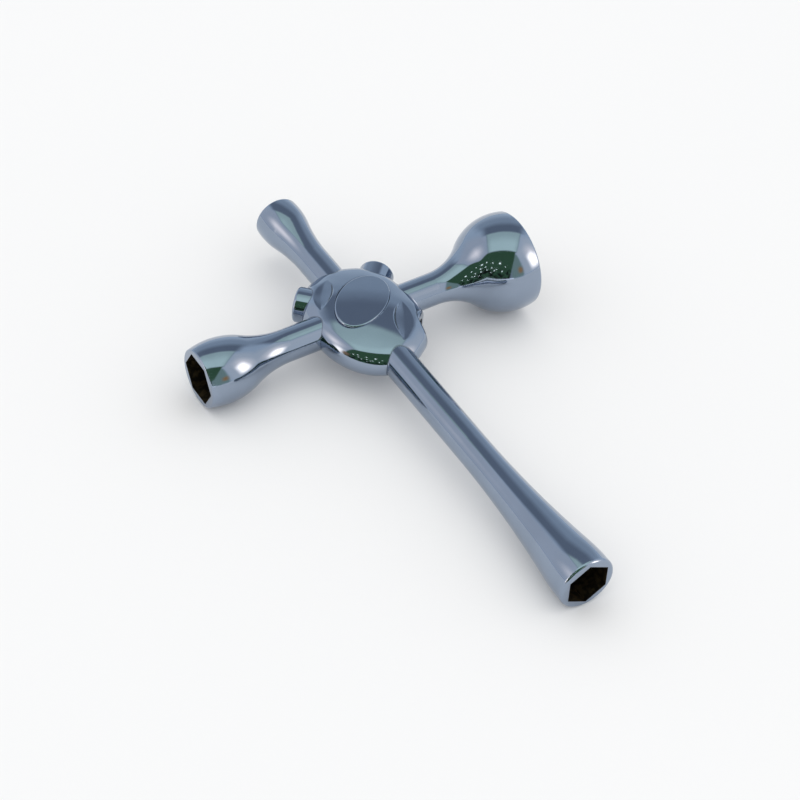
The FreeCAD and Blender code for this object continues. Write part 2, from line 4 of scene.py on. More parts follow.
import bmesh
import bpy
import numpy as np
from mathutils import Matrix, Vector
from mathutils.kdtree import KDTree


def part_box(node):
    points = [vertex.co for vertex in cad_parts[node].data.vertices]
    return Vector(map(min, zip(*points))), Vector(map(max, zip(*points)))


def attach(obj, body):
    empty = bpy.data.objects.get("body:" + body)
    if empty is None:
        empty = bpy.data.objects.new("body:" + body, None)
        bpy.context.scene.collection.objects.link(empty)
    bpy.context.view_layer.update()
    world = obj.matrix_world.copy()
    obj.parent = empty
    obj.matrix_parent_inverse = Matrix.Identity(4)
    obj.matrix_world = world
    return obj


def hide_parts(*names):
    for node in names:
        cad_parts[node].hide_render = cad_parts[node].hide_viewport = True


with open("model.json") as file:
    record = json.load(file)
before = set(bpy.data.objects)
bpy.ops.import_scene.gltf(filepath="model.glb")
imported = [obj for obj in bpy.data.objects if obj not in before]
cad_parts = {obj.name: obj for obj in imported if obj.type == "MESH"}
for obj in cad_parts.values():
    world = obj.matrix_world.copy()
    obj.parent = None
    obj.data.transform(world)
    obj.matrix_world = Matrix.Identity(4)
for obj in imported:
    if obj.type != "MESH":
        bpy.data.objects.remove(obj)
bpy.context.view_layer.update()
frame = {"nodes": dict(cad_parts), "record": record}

# Chrome cross wrench lying on a pale table inside a white light tent. Metres.

MM = 0.001
UP = Vector((0.0, 0.0, 1.0))

# ---------------------------------------------------------------- camera
# The camera looks at a point of the plane of the arms.
CAMERA_AIM = Vector((-0.00585, -0.02635, 0.0))
CAMERA_DISTANCE = 0.48724
CAMERA_AZIMUTH = math.radians(-33.5)
CAMERA_ELEVATION = math.radians(45.2)
CAMERA_ROLL = math.radians(3.1)
CAMERA_LENS = 103.05
CAMERA_NEAR = 0.01

# ---------------------------------------------------------------- what the wrench is made of
# Arm node: hexagon across flats, its depth, and whether its corners point up.
ARM_SOCKETS = {
    "bell_arm_17mm": (17.0 * MM, 7.5 * MM, False),
    "short_arm_10mm": (10.0 * MM, 8.0 * MM, False),
    "long_arm_9mm": (9.0 * MM, 8.0 * MM, True),
    "short_arm_8mm": (8.0 * MM, 6.0 * MM, True),
}
# Arm node: degrees from +X.
ARM_AZIMUTHS = {
    "bell_arm_17mm": 0.0,
    "short_arm_8mm": 90.0,
    "short_arm_10mm": 180.0,
    "long_arm_9mm": 270.0,
}
# Small socket node: hexagon across flats, degrees from +X, and distance of its mouth from the origin.
SMALL_SOCKETS = {
    "small_socket_5_5mm": (5.5 * MM, 135.0, 14.8 * MM),
    "small_socket_5mm": (5.0 * MM, 45.0, 14.8 * MM),
    "small_socket_4mm": (4.0 * MM, 315.0, 13.4 * MM),
}
SMALL_SOCKET_DEPTH = 3.0 * MM
# Height of a drill tip's cone over its radius.
DRILL_TIP_SLOPE = 0.6
SHANK_RADIUS = 3.72 * MM
SMALL_SOCKET_RADIUS = 4.0 * MM
MEDALLIONS = ("top_medallion", "bottom_medallion")
# The wrench rests on these three heads. The table under them is found in a few rounds.
RESTING_ARMS = ("bell_arm_17mm", "short_arm_10mm", "long_arm_9mm")
RESTING_ROUNDS = 8

# ---------------------------------------------------------------- hub
# The hub is turned with a shallow crown and a round rim, then stretched along Y. Its middle and the
# medallions' middles are shifted towards -Y.
HUB_HALF_SIZE = Vector((12.4, 16.4, 6.0)) * MM
HUB_RIM_ARC = 4.3 * MM
HUB_SHIFT = 1.8 * MM
SPIGOT_RADIUS = 3.0 * MM
SHOULDER_REACH = 7.6 * MM
# Arm node: where its spigot ends and where its cross pin stands, from the origin.
ARM_ROOTS = {
    "bell_arm_17mm": (3.6 * MM, 4.9 * MM),
    "short_arm_8mm": (1.6 * MM, 3.6 * MM),
    "short_arm_10mm": (3.6 * MM, 4.9 * MM),
    "long_arm_9mm": (1.6 * MM, 5.0 * MM),
}
PIN_RADIUS = 0.8 * MM
PIN_HALF_LENGTH = 0.8 * HUB_HALF_SIZE.z
SMALL_SOCKET_SEAT = 9.9 * MM
MEDALLION_TURN = 38.7
MEDALLION_SHIFT = 0.5 * MM
MEDALLION_SEAT = 3.95 * MM
RECESS_HALF_LENGTH = 8.71 * MM
RECESS_HALF_WIDTH = 5.66 * MM
SEAT_LIP = 0.08 * MM
# Leaf-shaped dimples: middle, degrees from +X, side the medallion is on, half length. Across a leaf,
# -1 is its outer edge and 1 its inner edge. A flank leads down to the floor, which rises gently to
# the foot of the inner wall, and that wall is steepest at the leaf's middle.
LEAVES = (
    ((-5.83 * MM, 5.95 * MM), 51.6, -1, 5.0 * MM),
    ((4.95 * MM, -9.3 * MM), 63.0, 1, 5.9 * MM),
)
LEAF_HALF_WIDTH = 2.1 * MM
LEAF_FLANK = (-1.10, -0.30)
LEAF_CREASE = 0.74
LEAF_FLOOR_RISE = 0.40
LEAF_DEPTH = 0.50 * MM
# Powers that shape the rise of the floor and the taper of the depth towards the tips.
LEAF_FLOOR_POWER = 1.5
LEAF_TIP_POWER = 1.5
# Painted shade darkens a narrow slit near the foot of the inner wall: where it runs, as a part of the
# leaf's half width, its own half width, and how narrow the leaf is, as a part of its full width, where
# the slit begins and where it is fully dark.
SHADE_SLIT_PLACE = 0.76
SHADE_SLIT_HALF_WIDTH = 0.27 * MM
SHADE_SLIT_FADE = (0.5, 0.85)
# The casting swells round each small socket: how far it rises up the socket and where it fades out.
COLLAR_RISES = {
    "small_socket_5_5mm": 0.5 * MM,
    "small_socket_5mm": 0.25 * MM,
    "small_socket_4mm": 0.35 * MM,
}
COLLAR_FADE = 2.0 * MM
# Corners round the hub and rings on each of its faces.
HUB_STEPS = 400
HUB_RINGS = 96
# Corners round the cutters, and the part of a step by which the round ones are turned.
CUTTER_STEPS = 72
CUTTER_TURN = 0.5
PIN_CUTTER_STEPS = 24
PIN_CUTTER_TURN = 0.25
OVAL_CUTTER_STEPS = 216
# The cutters end out here and up here, clear of the hub.
CUTTER_REACH = 2 * HUB_HALF_SIZE.y
OVAL_CUTTER_TOP = 1.5 * HUB_HALF_SIZE.z
# Half the step over which the dome's slope is measured, round it and down it.
SLOPE_STEP = 1e-4
# A corner this near to the uncut hub's surface lies on it, if the cosine between its face and that
# surface is also over a limit. Its shading is blended from the nearest corners of that surface.
DOME_REACH = 0.35 * MM
DOME_FACING = 0.75
DOME_NEIGHBOURS = 4
# These keep a division off nought.
BLEND_REACH = 1e-7
TINY = 1e-9

# ---------------------------------------------------------------- colours
CHROME = (0.28, 0.335, 0.425)
BARE_STEEL = (0.034, 0.028, 0.020)
RUSTY_STEEL = (0.085, 0.062, 0.034)
# Dark colours of the grime round the arms and small sockets and of the painted shade in the leaves' slits.
GRIME_AND_SHADE = (0.020, 0.022, 0.027)
PALE_GRIME_AND_SHADE = (0.030, 0.033, 0.0405)
PIN_STEEL = ((0.30, 0.30, 0.30), (0.42, 0.42, 0.41))
FLOOR_WHITE = (0.86, 0.865, 0.87)
STUDIO_WHITE = (1.12, 1.12, 1.12)
STUDIO_BACKDROP = (0.93, 0.935, 0.94)

# ---------------------------------------------------------------- finish
# Cells of noise per metre.
SMUDGE_SCALE = 95.0
TONE_SCALE = 240.0
WAVE_SCALE = 420.0
RUST_SCALE = 900.0
PIT_SCALE = 5200.0
PIN_GRAIN_SCALE = 4000.0
# Levels of noise between which each sets in.
SMUDGE_LEVELS = (0.38, 0.68)
PIT_LEVELS = (0.74, 0.80)
RUST_COLOUR_LEVELS = (0.42, 0.66)
RUST_ROUGHNESS_LEVELS = (0.3, 0.7)
GRAIN_LEVELS = (0.2, 0.8)
# Hairlines: cells per metre across them, their turn, and the noise at which one begins and is full.
HAIRLINES = (
    (2600.0, (0.3, 0.2, 0.5), 0.66, 0.72),
    (3100.0, (0.9, -0.4, 2.1), 0.68, 0.74),
)
HAIRLINE_STRETCH = 60.0
PIN_GRAIN_STRETCH = 30.0
# Tones of the plating, as parts of its colour, and how far smudges and wear take it to theirs.
TONES = (0.95, 1.05)
SMUDGE_TONE = 0.90
SMUDGE_STRENGTH = 0.5
WORN_TONE = 1.15
WEAR_STRENGTH = 0.35
# Roughness of clean plating and what smudges, wear and hairlines add, a hairline unworn and worn.
PLATED_ROUGHNESS = 0.05
SMUDGE_ROUGHNESS = 0.035
WEAR_ROUGHNESS = 0.05
HAIRLINE_ROUGHNESS = (0.06, 0.22)
MATT_ROUGHNESS = (0.42, 0.62)
PIN_ROUGHNESS = (0.25, 0.40)
# Relief: its full height, and the depth of hairlines and pits as parts of it.
FINISH_RELIEF = 0.006 * MM
HAIRLINE_DEPTH = 0.04
PIT_DEPTH = 0.10
PIN_RELIEF = 0.002 * MM
# The plating is worn over this length behind an arm's mouth and a small socket's mouth.
ARM_WEAR_REACH = 2.5 * MM
SMALL_SOCKET_WEAR_REACH = 1.0 * MM
HUB_WEAR = 0.15
MEDALLION_WEAR = 0.05
# Grime round the arms and small sockets: where it begins to fade and ends. Its strength there, and that
# of the painted shade in the slits.
SEAM_FADE = (0.04 * MM, 0.22 * MM)
SEAM_GRIME = 0.5
SLIT_PAINTED_SHADE = 0.85
# A point this far outside a socket's walls still counts as inside.
SOCKET_MARGIN = 0.05 * MM

# ---------------------------------------------------------------- table
TABLE_HALF_SIZE = 3.0
TABLE_SEGMENTS = 8
CLOUD_SCALE = 6.0
GRAIN_SCALE = 1800.0
CLOUD_TONE = 0.985
TABLE_GLOSS = 0.1
TABLE_ROUGHNESS = (0.7, 0.85)
TABLE_RELIEF = 0.01 * MM

# ---------------------------------------------------------------- light tent
# Directions in the tent are given as degrees from straight up and degrees round from the tent's
# front, positive towards its right side. On the plan of the roof, across is to the right and ahead
# is to the front, both in degrees from straight up.
TENT_FRONT_AZIMUTH = math.radians(-122.0)
# Keeps a division off nought straight up.
TENT_NEAR_ZENITH = 0.0001
TENT_WALL = (0.73, 0.83, 0.93)
# Zones of the plan: colour, across low and high, ahead low and high, and how far the colour fades at
# the sides, the back and the front.
TENT_PLAN = (
    ((0.50, 0.58, 0.67), -42.0, 39.0, -76.0, -46.0, 8.0, 12.0, 6.0),
    ((0.26, 0.30, 0.365), -35.0, 32.0, -50.0, -25.0, 8.0, 8.0, 3.0),
    ((0.36, 0.43, 0.44), -31.0, 29.0, -26.5, 22.5, 2.0, 1.8, 1.4),
    ((0.72, 0.87, 0.80), -30.0, 28.0, -25.0, 21.0, 2.2, 2.2, 1.4),
    ((1.00, 1.20, 1.08), -27.0, 26.0, -8.0, 20.0, 6.0, 14.0, 1.5),
)
# Zones round the walls: colour, degrees round low and high, degrees from the zenith low and high,
# softness of the edges.
TENT_SIDES = (
    ((0.94, 0.96, 0.98), 46.0, 118.0, 30.0, 92.0, 12.0),
    ((0.80, 0.82, 0.87), -125.0, -46.0, 30.0, 92.0, 12.0),
    ((2.3, 1.95, 1.75), -92.0, -70.0, 48.0, 66.0, 13.0),
    ((3.8, 3.2, 2.7), -72.0, -60.0, 66.0, 88.0, 8.0),
    ((1.9, 1.65, 1.5), 71.0, 94.0, 46.0, 82.0, 12.0),
    ((5.5, 4.6, 3.9), 68.0, 84.0, 57.0, 82.0, 7.5),
)
# The front opening, between degrees round low, across high and ahead low, and its soft edges.
TENT_OPENING = ((0.075, 0.160, 0.082), -57.0, 26.0, 21.5, 1.6)
# The flap beside the opening, brown patches at its sides, dark shapes beyond it, which noise breaks
# up, and the bright far edge of the table: all as the walls' zones.
TENT_FLAP = ((0.36, 0.48, 0.42), 22.0, 47.0, 38.0, 88.0, 3.0)
TENT_PATCHES = (
    ((0.62, 0.34, 0.15), 37.0, 46.0, 67.0, 79.0, 4.0),
    ((0.45, 0.27, 0.16), -60.0, -50.0, 68.0, 84.0, 3.0),
)
TENT_SHADOWS = ((0.006, 0.010, 0.008), -50.0, 20.0, 66.0, 90.0, 7.0)
TENT_SHADOW_SCALE = 9.0
TENT_SHADOW_CLUMPS = (0.44, 0.56)
TENT_TABLE_EDGE = ((2.2, 2.15, 2.25), -30.0, 26.0, 86.2, 95.0, 0.6)
# Small round lamps seen through the front opening: degrees round, degrees from the zenith, radius.
TENT_LAMPS = (
    (-46.0, 61.0, 1.2), (-40.0, 54.0, 1.3), (-24.0, 51.0, 1.3), (-5.0, 50.0, 2.0),
    (-31.0, 69.0, 1.1), (-22.0, 62.0, 1.2), (-15.0, 67.0, 1.2), (-11.0, 64.0, 1.1),
    (2.0, 68.0, 1.3), (-21.0, 73.0, 1.0), (-37.0, 64.0, 1.0), (9.0, 58.0, 1.1),
)
TENT_LAMP_WHITE = (4.0, 4.0, 3.4)
# Part of a lamp's radius that is fully bright.
TENT_LAMP_CORE = 0.6


# ---------------------------------------------------------------- shader nodes

class Graph:
    """Short calls for wiring shader nodes. A number or colour is set on a socket, a socket is linked."""

    def __init__(self, tree):
        self.tree = tree
        tree.nodes.clear()

    def node(self, kind, **settings):
        node = self.tree.nodes.new(kind)
        for name, value in settings.items():
            setattr(node, name, value)
        return node

    def feed(self, socket, value):
        if isinstance(value, bpy.types.NodeSocket):
            self.tree.links.new(value, socket)
        elif socket.type == "RGBA":
            socket.default_value = (*value, 1.0)
        else:
            socket.default_value = value

    def math(self, operation, *values, clamp=False):
        node = self.node("ShaderNodeMath", operation=operation, use_clamp=clamp)
        for socket, value in zip(node.inputs, values):
            self.feed(socket, value)
        return node.outputs[0]

    def product(self, first, *others):
        for other in others:
            first = self.math("MULTIPLY", first, other)
        return first

    def least(self, first, *others):
        for other in others:
            first = self.math("MINIMUM", first, other)
        return first

    def most(self, first, *others):
        for other in others:
            first = self.math("MAXIMUM", first, other)
        return first

    def dot(self, vector, direction):
        node = self.node("ShaderNodeVectorMath", operation="DOT_PRODUCT")
        self.feed(node.inputs[0], vector)
        self.feed(node.inputs[1], tuple(direction))
        return node.outputs["Value"]

    def ramp(self, value, low, high, start=0.0, end=1.0):
        """Smooth step from start to end as the value goes from low to high."""
        node = self.node("ShaderNodeMapRange", interpolation_type="SMOOTHSTEP")
        for name, number in (("Value", value), ("From Min", low), ("From Max", high),
                             ("To Min", start), ("To Max", end)):
            self.feed(node.inputs[name], number)
        return node.outputs["Result"]

    def band(self, value, low, high, soft):
        """One between low and high and nought outside, with soft edges."""
        rise = self.ramp(value, low - soft, low + soft)
        fall = self.ramp(value, high - soft, high + soft, 1.0, 0.0)
        return self.product(rise, fall)

    def mix(self, factor, first, second):
        node = self.node("ShaderNodeMix", data_type="RGBA")
        self.feed(node.inputs[0], factor)
        self.feed(node.inputs[6], first)
        self.feed(node.inputs[7], second)
        return node.outputs[2]

    def noise(self, vector, scale, detail=2.0, stretch=None, turn=None):
        """Noise of a given number of cells per metre, drawn out along X if a stretch is given."""
        if stretch:
            mapping = self.node("ShaderNodeMapping")
            self.feed(mapping.inputs["Vector"], vector)
            mapping.inputs["Rotation"].default_value = turn
            mapping.inputs["Scale"].default_value = (1.0 / stretch, 1.0, 1.0)
            vector = mapping.outputs["Vector"]
        node = self.node("ShaderNodeTexNoise")
        self.feed(node.inputs["Vector"], vector)
        node.inputs["Scale"].default_value = scale
        node.inputs["Detail"].default_value = detail
        return node.outputs["Factor"] if "Factor" in node.outputs else node.outputs["Fac"]

    def bump(self, height, distance, strength=1.0):
        node = self.node("ShaderNodeBump")
        node.inputs["Strength"].default_value = strength
        node.inputs["Distance"].default_value = distance
        self.feed(node.inputs["Height"], height)
        return node.outputs["Normal"]


def new_material(name):
    material = bpy.data.materials.new(name)
    material.use_nodes = True
    graph = Graph(material.node_tree)
    shader = graph.node("ShaderNodeBsdfPrincipled")
    output = graph.node("ShaderNodeOutputMaterial")
    graph.feed(output.inputs["Surface"], shader.outputs["BSDF"])
    return material, graph, shader


# ---------------------------------------------------------------- chrome

def scaled(colour, factor):
    return tuple(part * factor for part in colour)


def hexagon_reach(graph, place, azimuth, corner_up):
    """Distance from the axis to a point, measured across the flats of the hexagon it lies on."""
    sideways = Vector((-math.sin(azimuth), math.cos(azimuth), 0.0))
    first = 0.0 if corner_up else 90.0
    reaches = []
    for turn in (first, first + 60.0, first + 120.0):
        angle = math.radians(turn)
        normal = sideways * math.cos(angle) + UP * math.sin(angle)
        reaches.append(graph.math("ABSOLUTE", graph.dot(place, normal)))
    return graph.most(*reaches)


def axis_radius(graph, place, azimuth):
    """Distance of a point from a level axis through the origin."""
    sideways = (-math.sin(azimuth), math.cos(azimuth), 0.0)
    return graph.math("SQRT", graph.math(
        "ADD", graph.math("POWER", graph.dot(place, sideways), 2.0),
        graph.math("POWER", graph.dot(place, UP), 2.0)))


def socket_inside(graph, place, azimuth, mouth, flats, depth, corner_up, relief=None):
    """One on the walls and floor of a socket, nought on the plated outside.

    Relief is the radius and the far end of the round relief behind the hexagon.
    """
    axis = (math.cos(azimuth), math.sin(azimuth), 0.0)
    along = graph.dot(place, axis)
    reach = hexagon_reach(graph, place, azimuth, corner_up)
    in_hexagon = graph.product(
        graph.math("LESS_THAN", reach, flats / 2 + SOCKET_MARGIN),
        graph.math("GREATER_THAN", along, mouth - depth - SOCKET_MARGIN))
    if relief is None:
        return in_hexagon
    radius, end = relief
    tip_end = end - radius * DRILL_TIP_SLOPE
    cone = graph.math("DIVIDE", graph.math("SUBTRACT", along, tip_end), DRILL_TIP_SLOPE)
    hole = graph.math("ADD", graph.least(cone, radius), SOCKET_MARGIN)
    in_relief = graph.math("LESS_THAN", axis_radius(graph, place, azimuth), hole)
    return graph.most(in_hexagon, in_relief)


def scratches(graph, place, scale, turn, low, high):
    """Hairlines: the crests of a noise drawn out along one direction."""
    lines = graph.noise(place, scale, detail=3.0, stretch=HAIRLINE_STRETCH, turn=turn)
    return graph.ramp(lines, low, high)


def finish_colour(graph, place, wear, inside, dull, smudge, rust):
    tone = graph.noise(place, TONE_SCALE, detail=3.0)
    plated = graph.mix(tone, scaled(CHROME, TONES[0]), scaled(CHROME, TONES[1]))
    plated = graph.mix(graph.product(smudge, SMUDGE_STRENGTH), plated, scaled(CHROME, SMUDGE_TONE))
    plated = graph.mix(graph.product(wear, WEAR_STRENGTH), plated, scaled(CHROME, WORN_TONE))
    steel = graph.mix(graph.ramp(rust, *RUST_COLOUR_LEVELS), *dull)
    return graph.mix(inside, plated, steel)


def finish_roughness(graph, wear, inside, smudge, hairs, rust):
    gloss = graph.math("ADD", graph.product(smudge, SMUDGE_ROUGHNESS), PLATED_ROUGHNESS)
    hairline = graph.ramp(wear, 0.0, 1.0, *HAIRLINE_ROUGHNESS)
    gloss = graph.math("ADD", gloss, graph.product(hairs, hairline))
    gloss = graph.math("ADD", gloss, graph.product(wear, WEAR_ROUGHNESS))
    matt = graph.ramp(rust, *RUST_ROUGHNESS_LEVELS, *MATT_ROUGHNESS)
    outside = graph.math("SUBTRACT", 1.0, inside)
    return graph.math("ADD", graph.product(gloss, outside), graph.product(matt, inside), clamp=True)


def finish_relief(graph, place, inside, hairs, rust):
    pits = graph.ramp(graph.noise(place, PIT_SCALE, detail=1.0), *PIT_LEVELS)
    height = graph.noise(place, WAVE_SCALE, detail=1.0)
    for hollow in (graph.product(hairs, HAIRLINE_DEPTH), graph.product(pits, PIT_DEPTH),
                   graph.product(rust, inside)):
        height = graph.math("SUBTRACT", height, hollow)
    return graph.bump(height, FINISH_RELIEF)


def finish_chrome(graph, shader, place, wear, inside=0.0, dull=(BARE_STEEL, RUSTY_STEEL)):
    """Plated finish with smudges, hairlines, pits and a faint waviness.

    Wear and inside are masks. Where inside is one, the surface is matt and has the two dull colours.
    """
    smudge = graph.ramp(graph.noise(place, SMUDGE_SCALE, detail=5.0), *SMUDGE_LEVELS)
    hairs = graph.most(*(scratches(graph, place, *line) for line in HAIRLINES))
    rust = graph.noise(place, RUST_SCALE, detail=5.0)
    colour = finish_colour(graph, place, wear, inside, dull, smudge, rust)
    graph.feed(shader.inputs["Base Color"], colour)
    graph.feed(shader.inputs["Roughness"], finish_roughness(graph, wear, inside, smudge, hairs, rust))
    graph.feed(shader.inputs["Normal"], finish_relief(graph, place, inside, hairs, rust))
    shader.inputs["Metallic"].default_value = 1.0


def object_place(graph):
    return graph.node("ShaderNodeTexCoord").outputs["Object"]


def mount(name):
    return next(m for m in frame["record"]["mounts"] if m["name"] == name)


def arm_material(node):
    azimuth = math.radians(ARM_AZIMUTHS[node])
    flats, depth, corner_up = ARM_SOCKETS[node]
    low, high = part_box(node)
    axis = Vector((math.cos(azimuth), math.sin(azimuth), 0.0))
    mouth = max(low.dot(axis), high.dot(axis))
    bore = mount("socket_%dmm_relief" % round(flats / MM))
    radius = bore["dims"]["r_mm"] * MM
    end = Vector(bore["pos_m"]).dot(axis) - bore["dims"]["length_mm"] / 2 * MM

    material, graph, shader = new_material("chrome_" + node)
    place = object_place(graph)
    inside = socket_inside(graph, place, azimuth, mouth, flats, depth, corner_up, (radius, end))
    along = graph.dot(place, axis)
    wear = graph.ramp(along, mouth - ARM_WEAR_REACH, mouth)
    finish_chrome(graph, shader, place, wear, inside)
    return material


def small_socket_material(node):
    flats, azimuth, mouth = SMALL_SOCKETS[node]
    azimuth = math.radians(azimuth)
    axis = (math.cos(azimuth), math.sin(azimuth), 0.0)
    material, graph, shader = new_material("chrome_" + node)
    place = object_place(graph)
    inside = socket_inside(graph, place, azimuth, mouth, flats, SMALL_SOCKET_DEPTH, True)
    wear = graph.ramp(graph.dot(place, axis), mouth - SMALL_SOCKET_WEAR_REACH, mouth)
    finish_chrome(graph, shader, place, wear, inside)
    return material


def leaf_painted_shade(graph, place, leaf):
    """One along the foot of a leaf's inner wall, fading towards its tips: where shade is painted."""
    centre, turn, side, half_length = leaf
    along_way = Vector((math.cos(math.radians(turn)), math.sin(math.radians(turn)), 0.0))
    inward_way = Vector((-along_way.y, along_way.x, 0.0)) * side
    middle = Vector((*centre, 0.0))
    from_middle = graph.math("SUBTRACT", graph.dot(place, along_way), middle.dot(along_way))
    along = graph.math("DIVIDE", from_middle, half_length)
    inwards = graph.math("SUBTRACT", graph.dot(place, inward_way), middle.dot(inward_way))
    width = graph.math("SUBTRACT", 1.0, graph.product(along, along))
    gap = graph.math("SUBTRACT", inwards, graph.product(width, SHADE_SLIT_PLACE * LEAF_HALF_WIDTH))
    line = graph.ramp(graph.math("ABSOLUTE", gap), 0.0, SHADE_SLIT_HALF_WIDTH, 1.0, 0.0)
    return graph.product(line, graph.ramp(width, *SHADE_SLIT_FADE))


def seam(graph, place, azimuth, radius):
    """One in a ring round an arm or a small socket of a given radius."""
    angle = math.radians(azimuth)
    away = axis_radius(graph, place, angle)
    ring = graph.ramp(away, radius + SEAM_FADE[0], radius + SEAM_FADE[1], 1.0, 0.0)
    along = graph.dot(place, (math.cos(angle), math.sin(angle), 0.0))
    return graph.product(ring, graph.math("GREATER_THAN", along, 0.0))


def hub_material():
    """Chrome with a little grime where the arms and the small sockets enter, and painted shade in the
    leaves' slits.
    """
    material, graph, shader = new_material("chrome_hub")
    place = object_place(graph)
    seams = [seam(graph, place, azimuth, SHANK_RADIUS) for azimuth in ARM_AZIMUTHS.values()]
    seams += [seam(graph, place, azimuth, SMALL_SOCKET_RADIUS) for _, azimuth, _ in SMALL_SOCKETS.values()]
    # The leaves' slits take painted shade, darkened with the same colours as the grime.
    painted_slit_shades = [leaf_painted_shade(graph, place, leaf) for leaf in LEAVES]
    grime_and_slit_shade = graph.most(graph.product(graph.most(*seams), SEAM_GRIME),
                       graph.product(graph.most(*painted_slit_shades), SLIT_PAINTED_SHADE))
    finish_chrome(graph, shader, place, HUB_WEAR, grime_and_slit_shade, (GRIME_AND_SHADE, PALE_GRIME_AND_SHADE))
    return material


def medallion_material():
    material, graph, shader = new_material("chrome_medallion")
    finish_chrome(graph, shader, object_place(graph), MEDALLION_WEAR)
    return material


def pin_material():
    """Ground steel, hidden under the medallions."""
    material, graph, shader = new_material("pin_steel")
    place = object_place(graph)
    grain = graph.noise(place, PIN_GRAIN_SCALE, detail=3.0, stretch=PIN_GRAIN_STRETCH,
                        turn=(0.0, math.pi / 2, 0.0))
    graph.feed(shader.inputs["Base Color"], graph.mix(grain, *PIN_STEEL))
    graph.feed(shader.inputs["Roughness"], graph.ramp(grain, *GRAIN_LEVELS, *PIN_ROUGHNESS))
    graph.feed(shader.inputs["Normal"], graph.bump(grain, PIN_RELIEF))
    shader.inputs["Metallic"].default_value = 1.0
    return material


def dress(node, material):
    """Give a CAD node its material."""
    slots = frame["nodes"][node].data.materials
    slots.clear()
    slots.append(material)


def dress_all():
    for node in ARM_SOCKETS:
        dress(node, arm_material(node))
    for node in SMALL_SOCKETS:
        dress(node, small_socket_material(node))
    medallion = medallion_material()
    for node in MEDALLIONS:
        dress(node, medallion)
    pin = pin_material()
    for node in frame["nodes"]:
        if node.endswith("_cross_pin"):
            dress(node, pin)


# ---------------------------------------------------------------- hub

def unit(vectors):
    return vectors / np.linalg.norm(vectors, axis=-1, keepdims=True)


def smooth_step(value):
    """Smooth step from 0 to 1, flat outside."""
    value = np.clip(value, 0.0, 1.0)
    return value * value * (3.0 - 2.0 * value)


def dome_profile(travel):
    """Radius, height and slope angle on the unstretched dome, from its crown at 0 to its rim at 1."""
    width, height, rim = HUB_HALF_SIZE.x, HUB_HALF_SIZE.z, HUB_RIM_ARC
    crown = ((width - rim) ** 2 + height ** 2 - rim ** 2) / (2 * (height - rim))
    touch = math.atan2(crown - height, width - rim)
    crown_length = crown * (math.pi / 2 - touch)
    length = travel * (crown_length + rim * touch)
    on_crown = length < crown_length
    angle = np.where(on_crown, math.pi / 2 - length / crown, touch - (length - crown_length) / rim)
    arc = np.where(on_crown, crown, rim)
    radius = np.where(on_crown, 0.0, width - rim) + arc * np.cos(angle)
    rise = np.where(on_crown, height - crown, 0.0) + arc * np.sin(angle)
    return radius, rise, angle


def leaf_depth(x, y):
    """Depth of the leaf-shaped dimples at a point of the plan."""
    depth = np.zeros_like(x)
    for centre, turn, side, half_length in LEAVES:
        away_x, away_y = x - centre[0], y - centre[1]
        cosine, sine = math.cos(math.radians(turn)), math.sin(math.radians(turn))
        along = np.clip((away_x * cosine + away_y * sine) / half_length, -1.0, 1.0)
        inwards = (away_y * cosine - away_x * sine) * side
        taper = 1.0 - along ** 2
        place = inwards / (LEAF_HALF_WIDTH * taper + TINY)
        crease = LEAF_CREASE * taper
        wall = smooth_step((1.0 - place) / (1.0 - crease))
        flank = smooth_step((place - LEAF_FLANK[0]) / (LEAF_FLANK[1] - LEAF_FLANK[0]))
        floor = np.clip((place - LEAF_FLANK[1]) / (crease - LEAF_FLANK[1]), 0.0, 1.0)
        raised = 1.0 - LEAF_FLOOR_RISE * floor ** LEAF_FLOOR_POWER
        depth += LEAF_DEPTH * wall * flank * raised * taper ** LEAF_TIP_POWER
    return depth


def seat_lip_depth(x, y):
    """Rolled edge round the medallion's recess. Its full depth inside the recess is cut away later."""
    turn = math.radians(MEDALLION_TURN)
    away_y = y + MEDALLION_SHIFT
    long_way = (x * math.cos(turn) + away_y * math.sin(turn)) / RECESS_HALF_LENGTH
    short_way = (away_y * math.cos(turn) - x * math.sin(turn)) / RECESS_HALF_WIDTH
    reach = np.hypot(long_way, short_way) + TINY
    gap = (reach - 1.0) / reach * np.hypot(x, away_y)
    return SEAT_LIP * np.exp(-(np.maximum(gap, 0.0) / SEAT_LIP) ** 2)


def collar_rise(points):
    """Height of the swellings round the small sockets."""
    x, y, z = points[..., 0], points[..., 1], points[..., 2]
    rise = np.zeros_like(x)
    for node, height in COLLAR_RISES.items():
        azimuth = math.radians(SMALL_SOCKETS[node][1])
        cosine, sine = math.cos(azimuth), math.sin(azimuth)
        beyond = np.maximum(np.hypot(y * cosine - x * sine, z) - SMALL_SOCKET_RADIUS, 0.0)
        facing = x * cosine + y * sine > 0.0
        rise += height * facing * np.exp(-(beyond / COLLAR_FADE) ** 2)
    return rise


def hub_points(around, travel, face):
    """Points of the hub's top (face 1) or bottom (face -1)."""
    radius, rise, angle = dome_profile(travel)
    stretch = HUB_HALF_SIZE.y / HUB_HALF_SIZE.x
    points = np.stack((radius * np.cos(around), radius * np.sin(around) * stretch - HUB_SHIFT, rise), -1)
    normals = unit(np.stack((np.cos(angle) * np.cos(around),
                             np.cos(angle) * np.sin(around) / stretch,
                             np.sin(angle)), -1))
    x, y = points[..., 0], points[..., 1]
    sunk = leaf_depth(x, y) + seat_lip_depth(x, y) - collar_rise(points)
    points -= normals * sunk[..., None]
    points[..., 2] *= face
    return points


